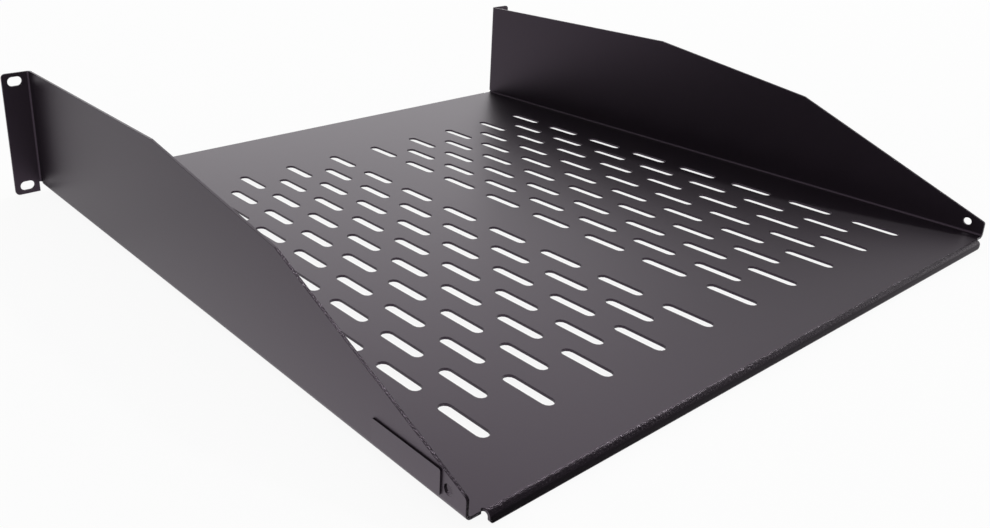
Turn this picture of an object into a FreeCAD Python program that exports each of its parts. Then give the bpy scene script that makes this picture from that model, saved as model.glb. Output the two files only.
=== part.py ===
import FreeCAD, Part
import math
import os

import Sketcher

# Cantilever rack shelf, two rack units high, cut and folded from one steel sheet: a slotted floor,
# two side panels that slope down to the back, a mounting ear in front of each panel and a short
# lip turned down at the front and back of the floor. A blank badge sits on one side panel.
#
# X runs across the rack, Y back into it and Z up. The origin is the middle of the four rack slots,
# on the front faces of the ears. The sketches measure Z from the bottom ends of the ears, and each
# body is then lowered by half an ear.

SIZES = (
    ("sheet_thickness", 1.5, "steel sheet"),
    ("bend_inside", 1.5, "radius inside each fold"),
    ("body_width", 445.0, "over the outsides of the side panels"),
    ("shelf_depth", 457.2, "front of the ears to the back of the rear lip"),
    ("floor_height", 5.5, "top of the floor above the bottom ends of the ears"),
    ("ear_height", 88.1, "two rack units, less the clearance to the next unit"),
    ("ear_reach", 18.8, "outside of the side panel to the outer edge of the ear"),
    ("ear_corner_radius", 3.0, "outer corners of the ears"),
    ("ear_slot_length", 10.0, "rack slot from end to end"),
    ("ear_slot_width", 6.6, "rack slot, clear of an M6 screw"),
    ("ear_slot_inset", 8.75, "outer edge of the ear to the middle of a rack slot"),
    ("ear_slot_drop", 5.95, "end of the ear to the middle of a rack slot"),
    ("mid_slope_run", 126.0, "length of the gentle slope on a side panel"),
    ("mid_slope_fall", 19.1, "height lost along the gentle slope"),
    ("rear_slope_run", 131.0, "length of the steep slope on a side panel"),
    ("tip_height", 9.0, "back end of a side panel, above the floor"),
    ("tip_radius", 2.0, "top corner at the back end of a side panel"),
    ("tie_hole_diameter", 5.0, "hole for a cable tie near the back of a side panel"),
    ("tie_hole_inset", 10.0, "back edge of the side panel to the tie hole"),
    ("tie_hole_height", 7.0, "tie hole above the floor"),
    ("lip_inset", 10.0, "outside of the side panel to the end of a lip"),
    ("lip_corner_radius", 2.0, "bottom corners of the lips"),
    ("relief_radius", 1.0, "round notch at each end of a lip's fold"),
    ("vent_length", 31.0, "vent slot from end to end"),
    ("vent_width", 7.0, "vent slot"),
    ("vent_column_pitch", 20.0, "from one column of vent slots to the next"),
    ("vent_row_pitch", 45.0, "from one vent slot to the next in its column"),
    ("vent_front", 91.0, "front of the ears to the middle of the first vent slot"),
    ("vent_back_margin", 45.0, "least distance from a vent slot's middle to the back"),
    ("vent_side_margin", 38.0, "least distance from a vent slot's middle to the outside"),
    ("badge_length", 43.0, "along the shelf"),
    ("badge_height", 12.0, "upright"),
    ("badge_thickness", 0.8, "moulded plate"),
    ("badge_corner_radius", 1.0, "corners of the badge"),
    ("badge_inset", 14.0, "back edge of the side panel to the badge"),
    ("badge_clearance", 0.5, "top of the floor fold to the badge"),
)

# Formulas that several sketches share.
bend_outside = "(Sizes.bend_inside + Sizes.sheet_thickness)"
floor_under = "(Sizes.floor_height - Sizes.sheet_thickness)"
fold_top = "(Sizes.floor_height + Sizes.bend_inside)"
panel_outside = "(Sizes.body_width / 2)"
panel_inside = "(Sizes.body_width / 2 - Sizes.sheet_thickness)"
panel_back = f"(Sizes.shelf_depth - {bend_outside})"
ear_outside = "(Sizes.body_width / 2 + Sizes.ear_reach)"
ear_fold_end = "(Sizes.body_width / 2 + Sizes.bend_inside)"
lip_end = "(Sizes.body_width / 2 - Sizes.lip_inset)"

# There are many vent slots, so each of their round ends is drawn in this many flats.
vent_end_flats = 6

doc = FreeCAD.newDocument("RackShelf")


def make_sizes():
    sheet = doc.addObject("Spreadsheet::Sheet", "Sizes")
    for row, (alias, size, note) in enumerate(SIZES, start=1):
        sheet.set(f"A{row}", alias)
        sheet.set(f"B{row}", str(size))
        sheet.set(f"C{row}", note)
        sheet.setAlias(f"B{row}", alias)
    doc.recompute()
    return sheet


sizes = make_sizes()


def length_of(formula):
    return float(sizes.evalExpression(formula))


def new_body(label):
    body = doc.addObject("PartDesign::Body", label)
    body.Label = label
    body.setExpression("Placement.Base.z", "-Sizes.ear_height / 2")
    return body


def origin_part(body, role):
    return next(part for part in body.Origin.OriginFeatures if part.Role == role)


def new_sketch(body, name, plane, offset="0"):
    """A sketch on one of the body's own planes, moved along the plane's normal."""
    sketch = body.newObject("Sketcher::SketchObject", name)
    sketch.AttachmentSupport = [(origin_part(body, plane), "")]
    sketch.MapMode = "FlatFace"
    sketch.setExpression("AttachmentOffset.Base.z", offset)
    return sketch


def hold(sketch, kind, *geometry, to):
    """Adds a dimension that follows a formula."""
    index = sketch.addConstraint(Sketcher.Constraint(kind, *geometry, length_of(to)))
    sketch.setExpression(f"Constraints[{index}]", to)


def hold_point(sketch, geometry, point, across, up):
    """Places a point of a sketch, measured from the sketch's origin."""
    origin, side_axis, level_axis = -1, -2, -1
    for kind, axis, formula in (("DistanceX", side_axis, across), ("DistanceY", level_axis, up)):
        if formula == "0":
            sketch.addConstraint(Sketcher.Constraint("PointOnObject", geometry, point, axis))
        elif formula:
            hold(sketch, kind, origin, 1, geometry, point, to=formula)


def arc_between(start, end, centre):
    """The short arc from start to end, and whether it had to be drawn backwards."""
    angles = [math.atan2(point.y - centre.y, point.x - centre.x) for point in (start, end)]
    backwards = (start - centre).cross(end - centre).z < 0
    if backwards:
        angles.reverse()
    circle = Part.Circle(centre, FreeCAD.Vector(0, 0, 1), (start - centre).Length)
    return Part.ArcOfCircle(circle, *angles), backwards


def draw_section(sketch, corners):
    """Closes an outline of level and upright lines. A corner's third value is its radius."""
    points = [FreeCAD.Vector(length_of(corner[0]), length_of(corner[1]), 0) for corner in corners]
    radii = [length_of(corner[2]) if len(corner) > 2 else 0 for corner in corners]
    count = len(corners)
    ways = [(points[(i + 1) % count] - points[i]).normalize() for i in range(count)]
    lines = []
    for i in range(count):
        start = points[i] + ways[i] * radii[i]
        end = points[(i + 1) % count] - ways[i] * radii[(i + 1) % count]
        line = sketch.addGeometry(Part.LineSegment(start, end))
        upright = abs(ways[i].y) > abs(ways[i].x)
        sketch.addConstraint(Sketcher.Constraint("Vertical" if upright else "Horizontal", line))
        across, up = corners[i][:2]
        hold_point(sketch, line, 1, across if upright else None, None if upright else up)
        lines.append(line)
    for i in range(count):
        before, after = lines[i - 1], lines[i]
        if not radii[i]:
            sketch.addConstraint(Sketcher.Constraint("Coincident", before, 2, after, 1))
            continue
        start = points[i] - ways[i - 1] * radii[i]
        end = points[i] + ways[i] * radii[i]
        arc, backwards = arc_between(start, end, start + ways[i] * radii[i])
        bend = sketch.addGeometry(arc)
        first, last = (2, 1) if backwards else (1, 2)
        sketch.addConstraint(Sketcher.Constraint("Tangent", before, 2, bend, first))
        sketch.addConstraint(Sketcher.Constraint("Tangent", after, 1, bend, last))
        hold(sketch, "Radius", bend, to=corners[i][2])


def draw_polygon(sketch, corners):
    """Closes an outline of straight lines, each corner placed from the origin."""
    points = [FreeCAD.Vector(length_of(across), length_of(up), 0) for across, up in corners]
    count = len(corners)
    lines = [
        sketch.addGeometry(Part.LineSegment(points[i], points[(i + 1) % count]))
        for i in range(count)
    ]
    for i in range(count):
        sketch.addConstraint(Sketcher.Constraint("Coincident", lines[i - 1], 2, lines[i], 1))
        hold_point(sketch, lines[i], 1, *corners[i])


def draw_slot(sketch, middle, long_formula, wide_formula):
    """A level slot with round ends about its middle."""
    across, up = middle
    radius = length_of(wide_formula) / 2
    reach = f"({long_formula} - {wide_formula}) / 2"
    arcs = []
    for sign, start in (("-", math.pi / 2), ("+", -math.pi / 2)):
        place = f"{across} {sign} {reach}"
        centre = FreeCAD.Vector(length_of(place), length_of(up), 0)
        circle = Part.Circle(centre, FreeCAD.Vector(0, 0, 1), radius)
        arc = sketch.addGeometry(Part.ArcOfCircle(circle, start, start + math.pi))
        hold_point(sketch, arc, 3, place, up)
        hold(sketch, "Radius", arc, to=f"{wide_formula} / 2")
        arcs.append((arc, centre))
    (left, left_centre), (right, right_centre) = arcs
    for side, left_end, right_end in ((radius, 1, 2), (-radius, 2, 1)):
        edge = FreeCAD.Vector(0, side, 0)
        line = sketch.addGeometry(Part.LineSegment(left_centre + edge, right_centre + edge))
        sketch.addConstraint(Sketcher.Constraint("Tangent", line, 1, left, left_end))
        sketch.addConstraint(Sketcher.Constraint("Tangent", line, 2, right, right_end))


def vent_corners(across, along):
    """Corners of a vent slot about its middle. The slot runs along Y."""
    radius = "Sizes.vent_width / 2"
    reach = "(Sizes.vent_length - Sizes.vent_width) / 2"
    corners = []
    for sign, start in (("+", 0), ("-", 180)):
        for flat in range(vent_end_flats + 1):
            turn = start + 180 * flat / vent_end_flats
            side = f"{across} + {radius} * cos({turn} deg)"
            corners.append((side, f"{along} {sign} {reach} + {radius} * sin({turn} deg)"))
    return corners


def draw_circle(sketch, across, up, diameter):
    centre = FreeCAD.Vector(length_of(across), length_of(up), 0)
    radius = length_of(diameter) / 2
    circle = sketch.addGeometry(Part.Circle(centre, FreeCAD.Vector(0, 0, 1), radius))
    hold_point(sketch, circle, 3, across, up)
    hold(sketch, "Radius", circle, to=f"{diameter} / 2")


def finish_feature(body, feature, grows):
    """Makes the feature the body's tip and checks that it added or took away material."""
    before = 0 if body.Shape.isNull() else body.Shape.Volume
    body.Tip = feature
    doc.recompute()
    change = body.Shape.Volume - before
    if change == 0 or (change > 0) != grows:
        raise RuntimeError(f"{feature.Name} changed the volume by {change:.3f} mm3")
    return feature


def pad(body, name, sketch, length, towards_normal=True, both_ways=False):
    feature = body.newObject("PartDesign::Pad", name)
    feature.Profile = sketch
    feature.SideType = "Symmetric" if both_ways else "One side"
    feature.Reversed = not towards_normal
    feature.setExpression("Length", length)
    return finish_feature(body, feature, grows=True)


def pocket(body, name, sketch, both_ways=False):
    """Cuts right through, against the sketch's normal or both ways."""
    feature = body.newObject("PartDesign::Pocket", name)
    feature.Profile = sketch
    feature.Type = "ThroughAll"
    feature.SideType = "Symmetric" if both_ways else "One side"
    return finish_feature(body, feature, grows=False)


def fillet(body, name, edges, radius):
    """Rounds edges of the tip, given by their numbers."""
    rounded = body.Tip
    feature = body.newObject("PartDesign::Fillet", name)
    feature.Base = (rounded, [f"Edge{number}" for number in edges])
    feature.setExpression("Radius", radius)
    return finish_feature(body, feature, grows=False)


def mirror(body, name):
    feature = body.newObject("PartDesign::Mirrored", name)
    feature.MirrorPlane = (origin_part(body, "YZ_Plane"), [""])
    return feature


def pattern(body, name, axis, pitch, copies):
    feature = body.newObject("PartDesign::LinearPattern", name)
    feature.Direction = (origin_part(body, axis), [""])
    feature.Mode = "Spacing"
    feature.setExpression("Offset", pitch)
    feature.setExpression("Occurrences", copies)
    return feature


def repeat(body, name, originals, patterns, grows=False):
    """Repeats features by each of the patterns in turn."""
    feature = body.newObject("PartDesign::MultiTransform", name)
    feature.Originals = originals
    feature.Transformations = patterns
    return finish_feature(body, feature, grows)


def edges_at(shape, direction, places):
    """Numbers of the straight edges along a direction whose middles match a place.

    A place holds a value in millimetres for each axis, or None where any will do."""
    numbers = []
    for number, edge in enumerate(shape.Edges, start=1):
        if not isinstance(edge.Curve, Part.Line):
            continue
        if abs(edge.Curve.Direction.dot(direction)) < 0.999:
            continue
        middle = edge.CenterOfMass
        for place in places:
            if all(want is None or abs(have - want) < 0.01 for have, want in zip(middle, place)):
                numbers.append(number)
    return numbers


def fold_channel(body):
    """Floor and side panels, between the tangent lines of the front and rear folds."""
    sketch = new_sketch(body, "channel_section", "XZ_Plane", f"-{bend_outside}")
    draw_section(sketch, (
        (panel_outside, "Sizes.ear_height"),
        (panel_outside, floor_under, bend_outside),
        (f"-{panel_outside}", floor_under, bend_outside),
        (f"-{panel_outside}", "Sizes.ear_height"),
        (f"-{panel_inside}", "Sizes.ear_height"),
        (f"-{panel_inside}", "Sizes.floor_height", "Sizes.bend_inside"),
        (panel_inside, "Sizes.floor_height", "Sizes.bend_inside"),
        (panel_inside, "Sizes.ear_height"),
    ))
    length = f"{panel_back} - {bend_outside}"
    pad(body, "channel", sketch, length, towards_normal=False)


def slope_panels(body):
    """Cuts the tops of the side panels down towards the back, in two slopes."""
    knee = f"({panel_back} - Sizes.rear_slope_run)"
    shoulder = f"({knee} - Sizes.mid_slope_run)"
    tip = "(Sizes.floor_height + Sizes.tip_height)"
    above = "(Sizes.ear_height + Sizes.mid_slope_fall)"
    sketch = new_sketch(body, "panel_slopes", "YZ_Plane")
    draw_polygon(sketch, (
        (shoulder, "Sizes.ear_height"),
        (knee, "(Sizes.ear_height - Sizes.mid_slope_fall)"),
        (panel_back, tip),
        ("Sizes.shelf_depth", tip),
        ("Sizes.shelf_depth", above),
        (shoulder, above),
    ))
    pocket(body, "panel_slope_cut", sketch, both_ways=True)


def fold_ears(body):
    """Ears turned out from the fronts of the panels. They reach below the floor, clear of its fold."""
    fold_root = f"({bend_outside} + Sizes.sheet_thickness)"
    ear_root = f"({ear_fold_end} + Sizes.sheet_thickness)"
    fold_sketch = new_sketch(body, "ear_fold_section", "XY_Plane", fold_top)
    draw_section(fold_sketch, (
        (panel_inside, fold_root),
        (panel_inside, "0", bend_outside),
        (ear_root, "0"),
        (ear_root, "Sizes.sheet_thickness"),
        (panel_outside, "Sizes.sheet_thickness", "Sizes.bend_inside"),
        (panel_outside, fold_root),
    ))
    fold = pad(body, "ear_fold", fold_sketch, f"Sizes.ear_height - {fold_top}")

    ear_sketch = new_sketch(body, "ear_outline", "XZ_Plane")
    draw_section(ear_sketch, (
        (ear_fold_end, "0"),
        (ear_outside, "0", "Sizes.ear_corner_radius"),
        (ear_outside, "Sizes.ear_height", "Sizes.ear_corner_radius"),
        (ear_fold_end, "Sizes.ear_height"),
    ))
    ear = pad(body, "ear", ear_sketch, "Sizes.sheet_thickness", towards_normal=False)
    repeat(body, "both_ears", [fold, ear], [mirror(body, "ear_mirror")], grows=True)


def punch_ear_slots(body):
    sketch = new_sketch(body, "ear_slot_outline", "XZ_Plane")
    middle = (f"({ear_outside} - Sizes.ear_slot_inset)", "Sizes.ear_slot_drop")
    draw_slot(sketch, middle, "Sizes.ear_slot_length", "Sizes.ear_slot_width")
    slot = pocket(body, "ear_slot", sketch)
    spacing = "Sizes.ear_height - 2 * Sizes.ear_slot_drop"
    upwards = pattern(body, "ear_slot_pair", "Z_Axis", spacing, "2")
    repeat(body, "ear_slots", [slot], [upwards, mirror(body, "ear_slot_mirror")])


def fold_lip(body, name, face, root, inner_face):
    """A lip turned down from the floor. Its outer face, root and inner face are given along Y."""
    sketch = new_sketch(body, f"{name}_section", "YZ_Plane")
    draw_section(sketch, (
        (face, "0"),
        (face, "Sizes.floor_height", bend_outside),
        (root, "Sizes.floor_height"),
        (root, floor_under),
        (inner_face, floor_under, "Sizes.bend_inside"),
        (inner_face, "0"),
    ))
    pad(body, name, sketch, f"2 * {lip_end}", both_ways=True)


def fold_lips(body):
    rear_root = f"({panel_back} - Sizes.sheet_thickness)"
    front_root = f"({bend_outside} + Sizes.sheet_thickness)"
    rear_inner = "(Sizes.shelf_depth - Sizes.sheet_thickness)"
    fold_lip(body, "rear_lip", "Sizes.shelf_depth", rear_root, rear_inner)
    fold_lip(body, "front_lip", "0", front_root, "Sizes.sheet_thickness")


def cut_lip_reliefs(body):
    """Round notches in the floor beside the ends of the lips, where the folds stop."""
    sketch = new_sketch(body, "relief_circles", "XY_Plane", "Sizes.floor_height")
    notch = f"({lip_end} + Sizes.relief_radius)"
    for across in (notch, f"-{notch}"):
        for along in (bend_outside, panel_back):
            draw_circle(sketch, across, along, "(2 * Sizes.relief_radius)")
    pocket(body, "lip_reliefs", sketch)


def punch_tie_holes(body):
    sketch = new_sketch(body, "tie_hole_circle", "YZ_Plane")
    along = f"({panel_back} - Sizes.tie_hole_inset)"
    up = "(Sizes.floor_height + Sizes.tie_hole_height)"
    draw_circle(sketch, along, up, "Sizes.tie_hole_diameter")
    pocket(body, "tie_holes", sketch, both_ways=True)


def round_corners(body):
    """Eases the back ends of the panels and the bottom corners of the lips."""
    across, along = FreeCAD.Vector(1, 0, 0), FreeCAD.Vector(0, 1, 0)
    tip = length_of("Sizes.floor_height + Sizes.tip_height")
    tips = edges_at(body.Tip.Shape, across, [(None, length_of(panel_back), tip)])
    fillet(body, "panel_tips", tips, "Sizes.tip_radius")
    end = length_of(lip_end)
    ends = edges_at(body.Tip.Shape, along, [(end, None, 0), (-end, None, 0)])
    fillet(body, "lip_corners", ends, "Sizes.lip_corner_radius")


def punch_vents(body):
    """Vent slots in two mirrored fields. Every other column is set half a row further back."""
    half_row = "Sizes.vent_row_pitch / 2"
    step = "(2 * Sizes.vent_column_pitch)"
    columns_room = f"({panel_outside} - Sizes.vent_side_margin"
    rows_room = "(Sizes.shelf_depth - Sizes.vent_back_margin"
    for name, column, first in (
        ("outer_vents", "Sizes.vent_column_pitch", "Sizes.vent_front"),
        ("inner_vents", step, f"(Sizes.vent_front + {half_row})"),
    ):
        sketch = new_sketch(body, f"{name}_outline", "XY_Plane", "Sizes.floor_height")
        draw_polygon(sketch, vent_corners(column, first))
        vent = pocket(body, f"{name}_first", sketch)
        columns = f"floor({columns_room} - {column}) / {step}) + 1"
        rows = f"floor({rows_room} - {first}) / Sizes.vent_row_pitch) + 1"
        across = pattern(body, f"{name}_columns", "X_Axis", step, columns)
        along = pattern(body, f"{name}_rows", "Y_Axis", "Sizes.vent_row_pitch", rows)
        repeat(body, name, [vent], [across, along, mirror(body, f"{name}_mirror")])


def make_shelf():
    body = new_body("shelf")
    fold_channel(body)
    slope_panels(body)
    fold_ears(body)
    punch_ear_slots(body)
    fold_lips(body)
    cut_lip_reliefs(body)
    punch_tie_holes(body)
    round_corners(body)
    punch_vents(body)
    return body


def make_badge():
    """A thin blank plate stuck flat on the outside of one side panel, low down near the back."""
    body = new_body("side_badge")
    sketch = new_sketch(body, "badge_outline", "YZ_Plane", panel_outside)
    back = f"({panel_back} - Sizes.badge_inset)"
    front = f"({back} - Sizes.badge_length)"
    bottom = f"({fold_top} + Sizes.badge_clearance)"
    top = f"({bottom} + Sizes.badge_height)"
    draw_section(sketch, (
        (front, bottom, "Sizes.badge_corner_radius"),
        (back, bottom, "Sizes.badge_corner_radius"),
        (back, top, "Sizes.badge_corner_radius"),
        (front, top, "Sizes.badge_corner_radius"),
    ))
    pad(body, "badge_plate", sketch, "Sizes.badge_thickness")
    return body


def check_document():
    for item in doc.Objects:
        bad = {"Invalid", "Error"} & set(item.State)
        if bad:
            raise RuntimeError(f"{item.Label}: {', '.join(bad)}")
        if item.isDerivedFrom("Sketcher::SketchObject") and not item.FullyConstrained:
            raise RuntimeError(f"{item.Label} isn't fully constrained")


def write_parts(bodies):
    os.makedirs("parts", exist_ok=True)
    for body in bodies:
        shape = body.Shape
        if shape.isNull() or not shape.isValid() or len(shape.Solids) != 1:
            raise RuntimeError(f"{body.Label} isn't one valid solid")
        shape.exportStep(f"parts/{body.Label}.step")
        print(f"{body.Label}: {shape.Volume / 1000:.2f} cm3, {len(shape.Faces)} faces")


bodies = (make_shelf(), make_badge())
doc.recompute()
check_document()
write_parts(bodies)
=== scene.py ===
import bpy
from math import cos, pi, radians, sin
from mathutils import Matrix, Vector


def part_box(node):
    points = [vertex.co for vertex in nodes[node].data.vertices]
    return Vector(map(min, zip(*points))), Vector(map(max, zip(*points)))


# A two-unit cantilever rack shelf, folded from one steel sheet and powder coated black, on a white
# studio floor. Lengths are in millimetres, and Blender's are in metres.
millimetre = 0.001
floorGap = 0.5 * millimetre  # between the part and the studio floor

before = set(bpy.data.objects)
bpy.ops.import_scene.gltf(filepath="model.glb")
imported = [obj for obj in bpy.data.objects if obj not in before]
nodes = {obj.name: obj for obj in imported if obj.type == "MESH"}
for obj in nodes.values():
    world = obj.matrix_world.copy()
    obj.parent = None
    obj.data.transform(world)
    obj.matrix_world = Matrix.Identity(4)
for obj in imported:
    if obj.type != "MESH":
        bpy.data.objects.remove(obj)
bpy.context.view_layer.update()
shelfLow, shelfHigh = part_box("shelf")
floorLevel = shelfLow.z - floorGap
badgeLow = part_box("side_badge")[0]
print("frame loaded:", ", ".join(sorted(nodes)))


def colour(hexCode):  # sRGB hex to the linear colour that Blender's sockets take
    values = [int(hexCode[i : i + 2], 16) / 255 for i in (1, 3, 5)]
    return [v / 12.92 if v <= 0.04045 else ((v + 0.055) / 1.055) ** 2.4 for v in values] + [1]


def addNode(tree, kind, settings={}, links={}):  # links: a number, a colour or a node's output
    node = tree.nodes.new(kind)
    for name, value in settings.items():
        setattr(node, name, value)
    for socket, value in links.items():
        if isinstance(value, bpy.types.NodeSocket):
            tree.links.new(value, node.inputs[socket])
        else:
            node.inputs[socket].default_value = value
    return node


def newMaterial(name):
    material = bpy.data.materials.new(name)
    material.use_nodes = True
    material.node_tree.nodes.clear()
    return material, material.node_tree


def finishMaterial(tree, shader):
    addNode(tree, "ShaderNodeOutputMaterial", links={"Surface": shader.outputs[0]})


# Black polyester powder coat, sprayed and baked on steel: satin, with a fine sandy grain. On the
# flats the grain melts into an even sheen. On the rear slopes' cut edges and the rear fold, where
# the high softbox strikes it, it sparkles.
powderCoat = {
    "colour": "#0A080A",
    "reflection": "#FDE0FF",  # its reflections lean violet, less so at a low angle
    "roughness": 0.42,
    "ior": 1.55,
    "grain": 1.1,  # mm across, where a real grain is about 0.3, so that it shows
    "grainHeight": 0.02,  # mm
    "edgeRadius": 0.3,  # mm, the coat rounds every cut edge
    "edgeReach": 1.3,  # mm, less than the sheet is thick, so that only cut edges are found
    "backTilt": (0.2, 0.33),  # how far a cut edge faces the back before it sparkles, and fully
    "sparkleHeight": 0.4,  # mm, grain where it sparkles
    "sparkleRoughness": 0.18,
    "foldMiddle": 1.6,  # mm in from the back, where the rear fold turns down
    "foldReach": (1.0, 1.5),  # mm from there to where the sparkle begins to fade, and ends
}


def makePowderCoat(look):
    material, tree = newMaterial("black_powder_coat")
    place = addNode(tree, "ShaderNodeTexCoord")
    grain = addNode(
        tree,
        "ShaderNodeTexNoise",
        links={
            "Vector": place.outputs["Object"],
            "Scale": 1 / (look["grain"] * millimetre),
            "Detail": 2.0,
            "Roughness": 0.6,
        },
    )
    edge = addNode(
        tree, "ShaderNodeBevel", {"samples": 6}, {"Radius": look["edgeRadius"] * millimetre}
    )
    thickness = addNode(
        tree,
        "ShaderNodeAmbientOcclusion",
        {"samples": 8, "inside": True, "only_local": True},
        {"Distance": look["edgeReach"] * millimetre},
    )
    nearEdge = addNode(
        tree,
        "ShaderNodeMapRange",
        links={"Value": thickness.outputs["AO"], "From Min": 0.95, "From Max": 0.6},
    )
    surface = addNode(tree, "ShaderNodeNewGeometry")
    facing = addNode(tree, "ShaderNodeSeparateXYZ", links={0: surface.outputs["True Normal"]})
    backward = addNode(
        tree,
        "ShaderNodeMapRange",
        links={
            "Value": facing.outputs["Y"],
            "From Min": look["backTilt"][0],
            "From Max": look["backTilt"][1],
        },
    )
    backEdge = addNode(
        tree,
        "ShaderNodeMath",
        {"operation": "MULTIPLY"},
        {0: nearEdge.outputs["Result"], 1: backward.outputs["Result"]},
    )
    depth = addNode(tree, "ShaderNodeSeparateXYZ", links={0: place.outputs["Object"]})
    fold = shelfHigh.y - look["foldMiddle"] * millimetre
    offFold = addNode(
        tree, "ShaderNodeMath", {"operation": "SUBTRACT"}, {0: depth.outputs["Y"], 1: fold}
    )
    awayFromFold = addNode(
        tree, "ShaderNodeMath", {"operation": "ABSOLUTE"}, {0: offFold.outputs[0]}
    )
    nearFold = addNode(
        tree,
        "ShaderNodeMapRange",
        links={
            "Value": awayFromFold.outputs[0],
            "From Min": look["foldReach"][1] * millimetre,
            "From Max": look["foldReach"][0] * millimetre,
        },
    )
    sparkle = addNode(
        tree,
        "ShaderNodeMath",
        {"operation": "MAXIMUM"},
        {0: backEdge.outputs[0], 1: nearFold.outputs["Result"]},
    )
    height = addNode(
        tree,
        "ShaderNodeMapRange",
        links={
            "Value": sparkle.outputs[0],
            "To Min": look["grainHeight"] * millimetre,
            "To Max": look["sparkleHeight"] * millimetre,
        },
    )
    sheen = addNode(
        tree,
        "ShaderNodeMapRange",
        links={
            "Value": sparkle.outputs[0],
            "To Min": look["roughness"],
            "To Max": look["sparkleRoughness"],
        },
    )
    bump = addNode(
        tree,
        "ShaderNodeBump",
        links={
            "Strength": 1.0,
            "Distance": height.outputs["Result"],
            "Height": grain.outputs["Fac"],
            "Normal": edge.outputs["Normal"],
        },
    )
    shader = addNode(
        tree,
        "ShaderNodeBsdfPrincipled",
        links={
            "Base Color": colour(look["colour"]),
            "Specular Tint": colour(look["reflection"]),
            "Roughness": sheen.outputs["Result"],
            "IOR": look["ior"],
            "Normal": bump.outputs["Normal"],
        },
    )
    finishMaterial(tree, shader)
    return material


# Moulded ABS badge, left bare: smoother than the coat around it.
badge = {"colour": "#0B090B", "reflection": "#FDE0FF", "roughness": 0.4, "ior": 1.55}


def makeBadgePlastic(look):
    material, tree = newMaterial("black_moulded_abs")
    shader = addNode(
        tree,
        "ShaderNodeBsdfPrincipled",
        links={
            "Base Color": colour(look["colour"]),
            "Specular Tint": colour(look["reflection"]),
            "Roughness": look["roughness"],
            "IOR": look["ior"],
        },
    )
    finishMaterial(tree, shader)
    return material


def dress(node, material):
    node.data.materials.clear()
    node.data.materials.append(material)


dress(nodes["shelf"], makePowderCoat(powderCoat))
dress(nodes["side_badge"], makeBadgePlastic(badge))
print("materials on the sheet and the badge")

studio = {
    "floorSize": 20.0,  # m
    "floorColour": "#FFFFFF",
    "shadow": 0.08,  # share of the floor that takes light and shade
    "worldLight": 0.6,
}


def seenOutright(tree):  # 1 for rays from the camera and from gloss and glass, which see white
    path = addNode(tree, "ShaderNodeLightPath")
    seen = path.outputs["Is Camera Ray"]
    for other in ("Is Glossy Ray", "Is Transmission Ray"):
        both = addNode(
            tree, "ShaderNodeMath", {"operation": "MAXIMUM"}, {0: seen, 1: path.outputs[other]}
        )
        seen = both.outputs[0]
    return seen


def makeFloor(look):
    bpy.ops.mesh.primitive_plane_add(size=look["floorSize"], location=(0, 0, floorLevel))
    floor = bpy.context.object
    floor.name = "studio_floor"
    material, tree = newMaterial("white_studio_floor")
    paint = addNode(tree, "ShaderNodeBsdfDiffuse", links={"Color": colour(look["floorColour"])})
    glow = addNode(tree, "ShaderNodeEmission", links={"Color": colour(look["floorColour"])})
    share = addNode(
        tree,
        "ShaderNodeMath",
        {"operation": "MULTIPLY"},
        {0: seenOutright(tree), 1: 1 - look["shadow"]},
    )
    mix = addNode(
        tree,
        "ShaderNodeMixShader",
        links={0: share.outputs[0], 1: paint.outputs[0], 2: glow.outputs[0]},
    )
    finishMaterial(tree, mix)
    floor.data.materials.append(material)


def makeWorld(look):
    world = bpy.data.worlds.new("white_studio")
    bpy.context.scene.world = world
    world.use_nodes = True
    tree = world.node_tree
    tree.nodes.clear()
    strength = addNode(
        tree,
        "ShaderNodeMapRange",
        links={"Value": seenOutright(tree), "To Min": look["worldLight"], "To Max": 1.0},
    )
    sky = addNode(
        tree,
        "ShaderNodeBackground",
        links={"Color": colour("#FFFFFF"), "Strength": strength.outputs["Result"]},
    )
    addNode(tree, "ShaderNodeOutputWorld", links={"Surface": sky.outputs[0]})


makeFloor(studio)
makeWorld(studio)
print("studio built")

# A big softbox stands beyond the front right corner and gives the floor its long sheen. A small
# one hangs high on the right, and only the folds and the cut edges catch it.
softboxes = {
    "floor_softbox": {
        "bearing": -127.5,  # degrees from +X towards +Y
        "height": 18,  # degrees above the floor
        "distance": 4.4,  # m
        "size": (3.5, 2.8),  # m, wide and high
        "radiance": 0.95,  # over that of the white world
        "colour": "#FFFFFF",
    },
    "edge_softbox": {
        "bearing": -174,
        "height": 52,
        "distance": 3.0,
        "size": (0.3, 0.26),
        "radiance": 52.0,
        "colour": "#F6FDF5",
    },
}


def makeSoftbox(name, look):
    wide, high = look["size"]
    light = bpy.data.lights.new(name, "AREA")
    light.shape = "RECTANGLE"
    light.size, light.size_y = wide, high
    light.energy = look["radiance"] * pi * wide * high
    light.color = colour(look["colour"])[:3]
    bearing, height = radians(look["bearing"]), radians(look["height"])
    out = Vector((cos(bearing) * cos(height), sin(bearing) * cos(height), sin(height)))
    lamp = bpy.data.objects.new(name, light)
    lamp.location = out * look["distance"]
    lamp.rotation_euler = out.to_track_quat("Z", "Y").to_euler()
    lamp.visible_camera = False
    bpy.context.scene.collection.objects.link(lamp)


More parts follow.
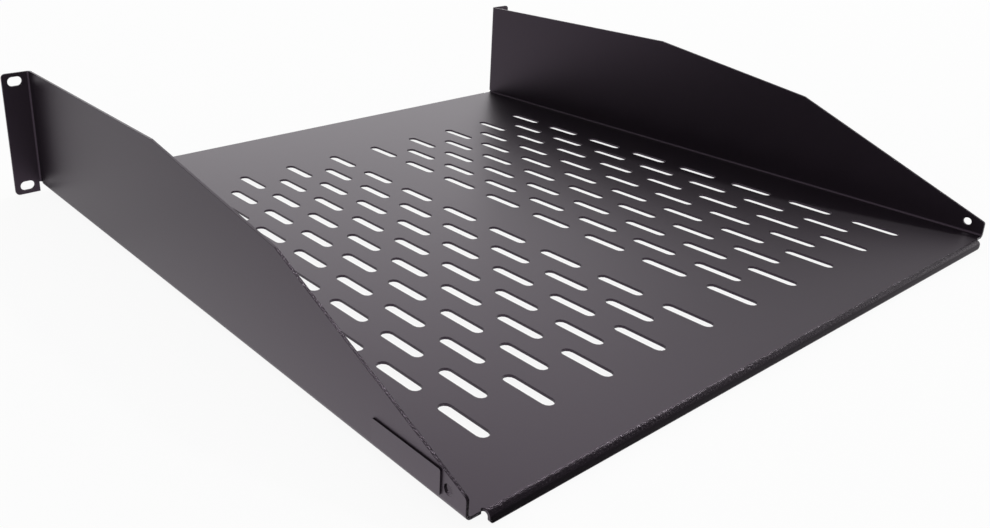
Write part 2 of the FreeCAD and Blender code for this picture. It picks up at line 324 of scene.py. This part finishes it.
# Glowing cards that show only in reflections. They paint reflections onto the coat: the dark ones
# paint shade into it and the bright ones paint a sheen. Two graded ones lie on the floor, dark
# along the back and bright beside the panel with the badge. A dark one leans over from behind, a
# grey one stands on the right and a nearly black one beyond the front left corner. The strength
# runs from the card's own low X end to its high one.
cardGap = 0.2 * millimetre  # clear of the part and of the floor
cards = {
    "back_card": {
        "corners": ((-0.26, 0, 0), (0.26, 0, 0), (0.26, 0.2, 0), (-0.26, 0.2, 0)),  # m
        "place": (0, shelfHigh.y + cardGap, floorLevel + cardGap),
        "turn": 0,  # degrees about Z
        "strength": (0.5, 0.0),
    },
    "panel_card": {
        "corners": ((-0.25, 0, 0), (0.25, 0, 0), (0.25, 0.4, 0), (-0.25, 0.4, 0)),
        "place": (badgeLow.x + cardGap, 0.37, floorLevel + cardGap),
        "turn": -90,
        "strength": (1.8, 1.0),
    },
    "rear_card": {
        "corners": ((-3, 0, 0), (3, 0, 0), (3, -2.2, 2.6), (-3, -2.2, 2.6)),
        "place": (0, 2.6, floorLevel + 0.01),
        "turn": 0,
        "strength": (0.2, 0.2),
    },
    "right_card": {
        "corners": ((-1.3, 0, 0), (1.3, 0, 0), (1.3, 0, 2.4), (-1.3, 0, 2.4)),
        "place": (-3.4, -0.7, floorLevel + 0.01),
        "turn": 90,
        "strength": (0.8, 0.4),
    },
    "side_card": {
        "corners": ((-2.1, -2.1, 0), (0.64, 0.64, 0), (0.64, 0.64, 3.2), (-2.1, -2.1, 3.2)),
        "place": (2.1, -2.1, floorLevel + 0.01),
        "turn": 0,
        "strength": (0.05, 0.05),
    },
}


def makeCard(name, look):
    mesh = bpy.data.meshes.new(name)
    mesh.from_pydata(look["corners"], [], [(0, 1, 2, 3)])
    card = bpy.data.objects.new(name, mesh)
    card.location = look["place"]
    card.rotation_euler.z = radians(look["turn"])
    bpy.context.scene.collection.objects.link(card)
    # The card's glow is a painted reflection, dark or bright, and the card is no lamp.
    material, tree = newMaterial("painted_reflection_" + name)
    place = addNode(tree, "ShaderNodeTexCoord")
    across = addNode(tree, "ShaderNodeSeparateXYZ", links={0: place.outputs["Generated"]})
    first, last = look["strength"]
    strength = addNode(
        tree,
        "ShaderNodeMapRange",
        links={"Value": across.outputs["X"], "To Min": first, "To Max": last},
    )
    glow = addNode(tree, "ShaderNodeEmission", links={"Strength": strength.outputs["Result"]})
    finishMaterial(tree, glow)
    mesh.materials.append(material)
    # Only glossy rays see the card, so it paints a reflection on the coat and nothing else.
    card.visible_camera = card.visible_diffuse = False
    card.visible_transmission = card.visible_shadow = False


for name, look in softboxes.items():
    makeSoftbox(name, look)
for name, look in cards.items():
    makeCard(name, look)
print("softboxes and cards placed")

lens = {
    "place": (426.0, 665.1, 200.2),  # mm
    "turn": (70.199, -0.382, 142.316),  # degrees
    "sensorWidth": 36,  # mm
    "focalLength": 34.85,  # mm
    "shift": (0.113, -0.086),
}


def makeCamera(look):
    data = bpy.data.cameras.new("camera")
    data.sensor_width = look["sensorWidth"]
    data.lens = look["focalLength"]
    data.shift_x, data.shift_y = look["shift"]
    data.clip_start = 0.01
    camera = bpy.data.objects.new("camera", data)
    camera.location = [value * millimetre for value in look["place"]]
    camera.rotation_euler = [radians(value) for value in look["turn"]]
    bpy.context.scene.collection.objects.link(camera)
    bpy.context.scene.camera = camera


makeCamera(lens)
bpy.context.scene.view_settings.view_transform = "Standard"
print("camera set")
